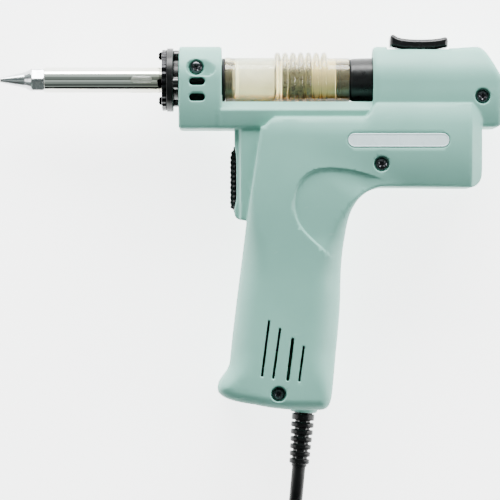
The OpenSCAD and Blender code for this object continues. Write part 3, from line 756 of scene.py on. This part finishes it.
def relief_axis(x, y):
    """Distances across and along the strain relief's axis, from the grip's foot."""
    dx, dy = x - RELIEF_X, y - FOOT_Y
    across = dx * cos(RELIEF_LEAN) - dy * sin(RELIEF_LEAN)
    along = -dx * sin(RELIEF_LEAN) - dy * cos(RELIEF_LEAN)
    return across, along


def housing_half(left):
    """One hollow half. Only the left has the screws' pockets, the head's vents and the plate's seat."""
    grid = Grid((83.4, -161.2, -1.4), (242.2, 18.6, 22.6), 0.42)
    x, y, z = grid.x, grid.y, np.abs(grid.z)
    body = either(upper_shape(x, y, z), pod_shape(x, y, z), 0.6)
    body = either(body, lower_shape(x, y, z), 0.7)
    across, along = relief_axis(x, y)
    body = either(body, both(np.hypot(across, z) - 6.9 + 0.45 * along, slab(along, -3, 1.85), 0.3), 0.8)
    shape = both(body, -(body + WALL))
    for sx, sy, _ in SCREWS:
        post = both(np.hypot(x - sx, y - sy) - (4.9 if left else 2.9), body)
        shape = either(shape, post)
    if left:
        pad = both(capsule(*POCKET, 13, x, y), 10.8 - z)
        shape = either(shape, both(pad, body))

    axis = np.hypot(y, z)
    holes = [
        (axis - 7.2, slab(x, 103, 108), 0.3),
        (axis - TROUGH_R, slab(x, HEAD[1], REAR[0]), 0.6),
        (axis - 10.9, slab(x, REAR[0] - 1, REAR[0] + 6), 0.4),
        (axis - 2.5, slab(x, HEAD[0] - 1, HEAD[0] + 5), 0.2),
        (np.hypot(across, z) - 4.7, slab(along, -7, 4), 0.3),
        (both(slab(y, -64.1, -32), z - 5.3), slab(x, 110, 117), 0.4),
        (both(slab(x, *ROCKER_OPENING), z - 6.9), 11 - y, 0.3),
    ]
    for section, reach, edge in holes:
        shape = cut(shape, both(section, reach), edge)
    slits = [((129, -115.5), (125.7, -141), 1.1), ((134.2, -119.2), (131, -142), 1.1),
             ((140.2, -124), (137.9, -142.8), 1.5), ((145.4, -127.5), (143.3, -143.4), 1.1)]
    shift = 0 if left else 2.5
    for top, low, width in slits:
        shape = cut(shape, both(capsule(top, low, width, x - shift, y), 12 - z), 0.4)
    if left:
        for vent_y in (-1.5, -9):
            shape = cut(shape, both(capsule((92.8, vent_y), (96.8, vent_y), 3.6, x, y), 8 - z), 0.55)
        floor = 13.4 + 0.45 * np.maximum(x - 99, 0)
        shape = cut(shape, both(capsule(*POCKET, 8.3, x, y), floor - z), 0.4)
        shape = cut(shape, both(capsule(*PLATE, 7.2, x, y), SHELL_HALF - 0.6 - z), 0.3)
        for sx, sy, seat in SCREWS:
            bore = np.hypot(x - sx, y - sy)
            shape = cut(shape, both(bore - 3.65, seat - z), 0.5)
            shape = cut(shape, bore - 1.6)
    shape = both(shape, -grid.z, 0.35)
    return field_surface(grid, shape, 0.12, mirror=not left)


for side in ("left", "right"):
    add_field(f"housing_{side}_moulding", [housing_half(side == "left")], "housing",
              "root", [f"housing_{side}"])


# ---- screws ----

def screw_surface(head_r, head_h, shank_r, shank_length, step, place):
    """A pan head with a cross recess, on a shank. The seat is at z = 0 and the head above it."""
    margin = 0.4
    grid = Grid((-head_r - margin, -head_r - margin, -shank_length - margin),
                (head_r + margin, head_r + margin, head_h + margin), step)
    x, y, z = grid.axes
    radius = np.hypot(x, y)
    dome_r = head_r * 1.6
    dome = np.sqrt(radius ** 2 + (z + dome_r - head_h) ** 2) - dome_r
    head = both(both(radius - head_r, dome, 0.35), -z, 0.15)
    recess = head_h - 0.5 * head_r + 0.62 * radius
    wing, reach = head_r * 0.19, head_r * 0.7
    cross = either(both(np.abs(x) - reach, np.abs(y) - wing), both(np.abs(y) - reach, np.abs(x) - wing))
    head = cut(head, both(cross + 0.5 * (head_h - z), recess - z), 0.08)
    thread = shank_r - 0.12 + 0.12 * np.cos(2 * pi * z / 0.9)
    shank = both(radius - thread, slab(z, -shank_length, 0.3), 0.15)
    return field_surface(grid, either(head, shank), 0.05, place=place)


def at_height(x, y, seat, twist):
    """Places a screw that points down into the housing's left side."""
    c, s = cos(twist), sin(twist)

    def place(points):
        u, v, w = points.T
        return np.column_stack([x + c * u - s * v, y + s * u + c * v, seat + w])
    return place


housing_screws = [screw_surface(3, 1.9, 1.5, seat + 9, 0.15, at_height(x, y, seat, 0.5 + i))
                  for i, (x, y, seat) in enumerate(SCREWS)]
add_field("housing_screws_pan", housing_screws, "black_steel", "root",
          ["housing_screws"])


# ---- nozzle, barrel and flange ----

def add_nozzle():
    """A plated cone on a hexagon with chamfered corners, drilled at the tip and bored from the back."""
    grid = Grid((-0.6, -6.6, -6.6), (22.2, 6.6, 6.6), 0.13)
    x, y, z = grid.axes
    radius = np.hypot(y, z)
    cone = 1.1 + 2.75 * np.clip(x / 12, 0, 1) + 1.65 * np.clip((x - 12) / 3.3, 0, 1)
    shape = both(radius - cone, slab(x, 0, 15.6), 0.25)
    flat = 5.9 * cos(pi / 6)
    hexagon = np.abs(y)
    for a in (60, 120):
        hexagon = np.maximum(hexagon, np.abs(y * cos(radians(a)) + z * sin(radians(a))))
    nut = both(hexagon - flat, slab(x, 15.3, 21.48), 0.15)
    nut = both(nut, radius - 5.75 + 0.6 * np.maximum(15.9 - x, 0) + 0.6 * np.maximum(x - 20.9, 0), 0.1)
    notch = both(both(slab(x, 20.4, 23), slab(y, -1.1, 0.1)), 4 - z)
    shape = cut(either(shape, nut, 0.2), notch, 0.1)
    shape = cut(shape, both(radius - 0.5, x - 8), 0.12)
    shape = cut(shape, both(radius - 2.22, slab(x, 16, 30)), 0.1)
    add_field("nozzle_turned", [field_surface(grid, shape, 0.03)], "nozzle", "root",
              ["nozzle"])


def carve(piece, cutters):
    """Cuts closed meshes out of a piece, and leaves no modifier behind."""
    for cutter in cutters:
        modifier = piece.modifiers.new("carve", "BOOLEAN")
        modifier.operation = "DIFFERENCE"
        modifier.solver = "EXACT"
        modifier.object = cutter
    graph = bpy.context.evaluated_depsgraph_get()
    carved = bpy.data.meshes.new_from_object(piece.evaluated_get(graph))
    piece.modifiers.clear()
    piece.data = carved
    for cutter in cutters:
        bpy.data.objects.remove(cutter)
    piece.data.set_sharp_from_angle(angle=CRISP_ANGLE)


def slot_cutter(x0, x1, width, reach, turn):
    """A bar with round ends that passes through the barrel at this angle."""
    half = width / 2
    edge = arc((x1 - half, 0), half, -90, 90, 12) + arc((x0 + half, 0), half, 90, 270, 12)
    count = len(edge)
    c, s = cos(turn), sin(turn)
    vertices = [(x, v * c - w * s, v * s + w * c) for w in (-reach, reach) for x, v in edge]
    faces = [tuple(range(count))[::-1], tuple(range(count, 2 * count))]
    faces += [(i, (i + 1) % count, count + (i + 1) % count, count + i) for i in range(count)]
    mesh = bpy.data.meshes.new("slot_cutter")
    mesh.from_pydata([tuple(v) for v in to_row(vertices)], [], faces)
    return add_object("slot_cutter", mesh)


def add_barrel():
    """The heater's sleeve, with two slots right through it."""
    profile = [(21.52, 5.5), (21.52, 6.1), (76.8, 6.1), (76.8, 5.8), (80.18, 5.8), (80.18, 5.5)]
    barrel = add_turned("heater_barrel_sleeve", profile, "barrel", "root",
                        ["heater_barrel"], sides=128, edge=0.18)
    carve(barrel, [slot_cutter(63, 73.2, 3.2, 9, turn) for turn in (0, pi / 2)])


def add_flange():
    """A front plate with a burnt, notched rim, a thicker smooth plate behind it, and their screws."""
    face_x, circle_r = 77.9, 12.5
    grid = Grid((76.8, -15.6, -15.6), (81, 15.6, 15.6), 0.2)
    x, y, z = grid.axes
    radius, angle = np.hypot(y, z), np.arctan2(z, y)
    rim = 14.45 + 0.3 * np.cos(26 * angle) * np.abs(np.cos(3.5 * angle + 1))
    plate = both(radius - rim, slab(x, face_x, 80.16), 0.35)
    plate = cut(plate, radius - 5.85 + 0 * x, 0.2)
    for i in range(12):
        a = radians(30 * i + 8)
        dimple = np.sqrt((x - 77.7) ** 2 + (y - 12.9 * cos(a)) ** 2 + (z - 12.9 * sin(a)) ** 2)
        plate = cut(plate, dimple - 0.9, 0.15)
    add_field("flange_front_plate", [field_surface(grid, plate, 0.05)], "flange",
              "root", ["flange_front"])
    add_turned("flange_rear_plate", ring(80.2, 83.28, 15.2, 2.3), "dark", "root",
               ["flange_rear"], sides=128, edge=0.45)
    add_turned("neck_insulator_ring", ring(83.3, 85.98, 9.4, 2.3), "dark", "root",
               ["neck_insulator"], edge=0.3)
    heads, vertices, faces = [], [], []
    for i in range(3):
        a = radians(120 * i + 20)
        centre = (circle_r * cos(a), -circle_r * sin(a))

        def place(points, centre=centre):
            u, v, w = points.T
            return np.column_stack([face_x - w, centre[0] + u, centre[1] + v])

        heads.append(screw_surface(2, 2.05, 1.2, 12, 0.13, place))
        points, post_faces = turned_surface(rounded(ring(83.3, 85.98, 2.9, 1.3), 0.3), 40, centre)
        faces += [tuple(k + len(vertices) for k in f) for f in post_faces]
        vertices += points
    add_field("flange_screws_pan", heads, "steel", "root", ["flange_screws"])
    weld(add_mesh("flange_standoffs_turned", to_row(vertices), faces, "gloss_black", "root",
                  ["flange_standoffs"]))


add_nozzle()
add_barrel()
add_flange()


# ---- collector ----

def tube_profile():
    """The clear tube with its round grip ribs."""
    wall_r = 10.6
    outer = [(108.2, 9.2), (108.2, 10.9), (110.6, 10.9), (111.2, wall_r)]
    for i in range(7):
        centre = 133.1 + 3.72 * i
        for k in range(13):
            a = pi * k / 12
            outer.append((centre - 1.55 * cos(a), wall_r + 2.7 * sin(a) ** 0.7))
    return outer + [(166.6, wall_r), (167.4, 10.3), (167.4, 9.2)]


def add_collector():
    """The tube, its film, both packings, the paper plug, the wool and the holder that slides."""
    vertices, faces = turned_surface(tube_profile(), 128)
    weld(add_mesh("collector_tube_moulding", to_row(vertices), faces, "tube", "collector",
                  ["collector_tube"]))
    add_turned("tube_label_film", ring(113, 131.5, 10.76, 10.63), "label", "collector",
               ["tube_label"], sides=128, edge=0.05)
    front = [(101.5, 2.3), (101.5, 9), (104.2, 9), (104.2, 7.1), (106.6, 7.1), (106.6, 10.4), (108.1, 10.4),
             (108.1, 9.1), (111.5, 8.9), (111.5, 2.3)]
    add_turned("front_packing_moulding", front, "rubber", "root", ["front_packing"],
               edge=0.3)
    rear = [(160.9, 2), (160.9, 9.1), (161.7, 9.1), (161.7, 8.4), (163.3, 8.4), (163.3, 9.1), (167.4, 9.1),
            (167.4, 10.2), (167.75, 10.2), (167.75, 2)]
    add_turned("rear_packing_moulding", rear, "rubber", "collector", ["rear_packing"],
               edge=0.15)
    seal = [(162.5 + 0.36 * cos(a), 8.8 + 0.36 * sin(a))
            for a in (2 * pi * k / 14 for k in range(14))]
    add_turned("packing_ring_seal", seal, "rubber", "collector", ["packing_ring"], edge=0)
    holder = [(167.8, 2), (167.8, 9.8), (168.6, 10.25), (176.5, 10.5), (180.5, 10.5), (180.5, 5.2),
              (172, 5.2), (172, 2)]
    add_turned("rear_holder_turned", holder, "dark", "collector", ["rear_holder"],
               sides=128, edge=0.4)
    barb = [(180.3, 0.7), (180.3, 1.3), (181.6, 1.3), (182, 1.55), (183.4, 1.2), (183.4, 1.1), (185, 1.1),
            (185, 0.7)]
    add_turned("hose_barb_turned", barb, "gloss_black", "collector", sides=32, edge=0.1,
               centre=(HOSE_Y, 0))
    add_turned("filter_paper_plug", [(149.1, 0), (149.1, 9.15), (160.7, 9.15), (160.7, 0)], "paper",
               "collector", ["filter_paper"], edge=0.4)
    add_filter()


def add_filter():
    """A plug of ceramic wool with an uneven, fibrous surface."""
    sides, rings = 120, 44
    start_x, length = 136, 13
    vertices = [(start_x, 0, 0)]
    for j in range(rings + 1):
        x = start_x + length * j / rings
        shrink = 0.5 * (abs(j / rings * 2 - 1) ** 8)
        for i in range(sides):
            a = 2 * pi * i / sides
            lump = noise.noise(Vector((x * 1.1, 9 * cos(a) * 1.1, 9 * sin(a) * 1.1)))
            radius = 8.95 - shrink - 0.35 * abs(lump)
            vertices.append((x, radius * cos(a), radius * sin(a)))
    vertices.append((start_x + length, 0, 0))
    faces = [(0, 1 + (i + 1) % sides, 1 + i) for i in range(sides)]
    faces += skin(rings, sides, first=1)
    start = 1 + rings * sides
    faces += [(len(vertices) - 1, start + i, start + (i + 1) % sides) for i in range(sides)]
    weld(add_mesh("filter_wool_plug", to_row(vertices), faces, "wool", "collector",
                  ["filter_element"]))


def add_spring(name, x0, x1, radius, wire, turns, y):
    """A wire spring between x0 and x1, with closer turns at each end."""
    steps, sides = 32, 10
    count = turns * steps
    vertices = []
    for i in range(count + 1):
        turn = i / steps
        dead = float(smooth(turn / 1.2) * smooth((turns - turn) / 1.2))
        travel = (turn / turns - 0.5) * (1 - 0.12 * (1 - dead)) + 0.5
        x = x0 + wire + (x1 - x0 - 2 * wire) * travel
        a = 2 * pi * turn
        for k in range(sides):
            b = 2 * pi * k / sides
            reach = radius + wire * cos(b)
            vertices.append((x + wire * sin(b), y + reach * cos(a), reach * sin(a)))
    faces = [tuple(range(sides)), tuple(range(count * sides, (count + 1) * sides))[::-1]]
    faces += skin(count, sides, flip=True)
    spring = add_mesh(name + "_wire", to_row(vertices), faces, "spring", None, [name])
    weld(spring)
    tuple(to_row((x0 + 0.4, y, 0)))
    tuple(to_row((x1 - 0.4, y, 0)))
    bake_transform(spring)


def add_hose():
    """The soft hose from the holder's barb to the pump."""
    line = [(185.1 + 6.9 * k / 6, HOSE_Y) for k in range(7)]
    line += [(196, -8.1), (200, -8.2), (204, -8.35), (208, -8.5)]
    line += [p for p in bezier((214, -8.8), (220, -9.2), (223.7, -10), (223.7, -15.2), 12)]
    sides, radius, bore = 24, 2.3, 1.4
    vertices = []
    for i, (x, y) in enumerate(line):
        ax, ay = line[max(i - 1, 0)]
        bx, by = line[min(i + 1, len(line) - 1)]
        length = hypot(bx - ax, by - ay)
        nx, ny = -(by - ay) / length, (bx - ax) / length
        for r in (radius, bore):
            for k in range(sides):
                a = 2 * pi * k / sides
                vertices.append((x + nx * r * cos(a), y + ny * r * cos(a), r * sin(a)))
    last = len(line) - 1
    end = last * 2 * sides
    faces = skin(last, sides, stride=2 * sides) + skin(last, sides, sides, 2 * sides, flip=True)
    faces += skin(1, sides, flip=True) + skin(1, sides, end)
    hose = add_mesh("vacuum_hose_tube", to_row(vertices), faces, "hose", None,
                    ["vacuum_hose"])
    weld(hose)
    tuple(to_row((187, HOSE_Y, 0)))
    tuple(to_row((208, HOSE_Y, 0)))
    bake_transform(hose)


add_collector()
add_hose()
add_spring("holder_spring", 172.1, 196.9, 4.6, 0.45, 8, 0)
add_spring("trigger_spring", 116.8, 123.9, 2.5, 0.35, 5, -36)


# ---- controls ----

def add_trigger():
    """A knurled bar with sloping ends, on a flange that keeps it in the pod."""
    grid = Grid((109.6, -66, -7.2), (119.4, -29.8, 7.2), 0.16)
    x, y, z = grid.x, grid.y, np.abs(grid.z)
    edge = [(115.6, -63.7), (113, -63.7), (110.9, -60.8), (110.75, -58), (110.75, -38), (111, -35.5),
            (112.6, -32.4), (115.6, -32.4)]
    wave = pi / 2.4
    knurl = np.sin(wave * (y + x + z)) * np.sin(wave * (y - x - z))
    bar = both(outline(edge, x, y), z - 4.6, 0.5) - 0.5 * knurl
    bar = both(both(bar, -63.8 - y), 110.4 - x)
    flange = both(both(slab(x, 115.2, 116.7), slab(y, -65, -30.6), 0.3), z - 6.5, 0.3)
    boss = both(np.hypot(y + 56, z) - 0.9, slab(x, 116, 118.7), 0.2)
    shape = either(either(bar, flange), boss)
    add_field("trigger_knurled", [field_surface(grid, shape, 0.03)], "relief",
              "trigger_body", ["trigger"])


def add_rocker():
    """A glossy rocker with a concave top, bevelled along its sides and ends."""
    grid = Grid((185.6, 6.8, -8), (216, 22.2, 8), 0.16)
    x, y, z = grid.x, grid.y, np.abs(grid.z)
    x0, x1, half = 186.8, 214.5, 6.5
    edge = [(x0, 15.9), (193, 14.5), (ROCKER_PIVOT[0], 14), (208, 14.4), (x1, 15.6), (x1 + 0.2, 18.5)]
    edge += arc((x1 - 1.2, 19.1), 1.2, 0, 110, 6)
    edge += bezier((x1 - 3, 19.9), (207, 18.9), (194, 18.7), (x0 + 3.5, 20.4), 16)
    edge += arc((x0 + 1.6, 20.1), 1.4, 75, 180, 6)
    plan = outline(edge, x, y)
    bevel = (plan + z - half + 1.2) * SLOPE
    cap = both(both(plan, z - half, 0.2), bevel, 0.25)
    stem = outline([(193.5, 15.6), (207.8, 15.6), (204.5, 7.4), (196.8, 7.4)], x, y)
    stem = both(stem, z - 5.6, 0.3)
    pin = both(np.hypot(x - ROCKER_PIVOT[0], y - ROCKER_PIVOT[1]) - 1.2, z - 7.3, 0.15)
    shape = either(either(cap, stem), pin)
    add_field("power_rocker_cap", [field_surface(grid, shape, 0.05)], "black",
              "rocker_body", ["power_rocker"])


def add_plate():
    """A plain film plate with a thin raised frame, and no marks."""
    grid = Grid((165.8, -33.6, 20), (214.8, -25.6, 21.4), 0.16)
    x, y, z = grid.axes
    plan = capsule(*PLATE, 6.4, x, y)
    top = 20.78 + 0.1 * smooth((plan + 0.55) / 0.2)
    shape = both(plan, slab(z, 20.42, top), 0.08)
    groove = both(both(slab(x, 190.4, 190.75), np.abs(y - PLATE[0][1]) - 2.5), 20.7 - z)
    add_field("name_plate_film", [field_surface(grid, cut(shape, groove), 0.1)], "plate",
              "root", ["name_plate"])


add_trigger()
add_rocker()
add_plate()


# ---- finishes of the CAD nodes that stay ----

KEPT = {
    "pipe": ["suction_pipe"],
    "steel": ["pump_motor", "pump_bracket", "clamp_screws", "switch_lever"],
    "ceramic": ["heater_element"],
    "black": ["power_switch_body", "pump_body", "pump_cover", "microswitch"],
    "rubber": ["pump_diaphragm"],
    "brass": ["switch_terminals", "eccentric_cam"],
    "winding": ["motor_rotor"],
    "laminate": ["circuit_board"],
    "resin": ["board_parts"],
    "signal": ["switch_plunger"],
    "clamp": ["cord_clamp"],
}
for finish_name, node_names in KEPT.items():
    for node_name in node_names:
        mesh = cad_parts[node_name].data
        mesh.materials.clear()
        mesh.materials.append(FINISHES[finish_name].material)


# ---- floor and light ----

def add_floor():
    """A plain pale sheet that glows a little, as a lit studio floor does."""
    half = 3
    corners = [(-half, -half, 0), (half, -half, 0), (half, half, 0), (-half, half, 0)]
    mesh = bpy.data.meshes.new("floor")
    mesh.from_pydata(corners, [], [(0, 1, 2, 3)])
    floor = add_object("floor", mesh)
    paper = Finish("floor_paper", (250, 250, 250), 0.8, grain=(0.8, 0.01), mottle=(60, 0.01))
    paper.set(Emission_Color=(1, 1, 1, 1), Emission_Strength=3.6)
    mesh.materials.append(paper.material)


def add_light(name, place, size, power):
    """A soft rectangular light that faces the gun."""
    data = bpy.data.lights.new(name, "AREA")
    data.shape = "RECTANGLE"
    data.size, data.size_y = size
    data.energy = power
    light = add_object(name, data)
    light.location = place
    aim = Vector((0, -0.02, 0.02)) - Vector(place)
    light.rotation_euler = aim.to_track_quat("-Z", "Y").to_euler()


def add_world():
    """A soft studio sky: bright towards the top of the gun, dim overhead, dark past its foot."""
    world = bpy.data.worlds.new("studio")
    bpy.context.scene.world = world
    world.use_nodes = True
    tree = world.node_tree
    split = tree.nodes.new("ShaderNodeSeparateXYZ")
    tree.links.new(tree.nodes.new("ShaderNodeTexCoord").outputs["Generated"], split.inputs["Vector"])
    height = tree.nodes.new("ShaderNodeMapRange")
    height.inputs["From Min"].default_value = -1
    tree.links.new(split.outputs["Y"], height.inputs["Value"])
    ramp = tree.nodes.new("ShaderNodeValToRGB")
    # Position from the foot's side to the top's side, and brightness
    stops = [(0.0, 0.02), (0.035, 0.02), (0.055, 0.9), (0.08, 0.9), (0.1, 0.03), (0.14, 0.03), (0.18, 0.5),
             (0.32, 0.8), (0.42, 1.7), (0.47, 1), (0.487, 0.18), (0.513, 0.18), (0.54, 0.5), (0.7, 0.6),
             (0.77, 1.8), (1.0, 2.2)]
    fill_ramp(ramp, [(place, (level * 0.86, level, level * 0.96, 1)) for place, level in stops])
    tree.links.new(height.outputs["Result"], ramp.inputs["Fac"])
    background = tree.nodes["Background"]
    tree.links.new(ramp.outputs["Color"], background.inputs["Color"])
    background.inputs["Strength"].default_value = 0.5


add_floor()
add_light("top_softbox", (0, 1.1, 0.42), (1.6, 0.5), 62)
add_light("left_softbox", (-1.1, 0, 0.25), (0.5, 0.9), 5)
add_light("right_softbox", (1.1, 0, 0.25), (0.5, 0.9), 16)
add_world()
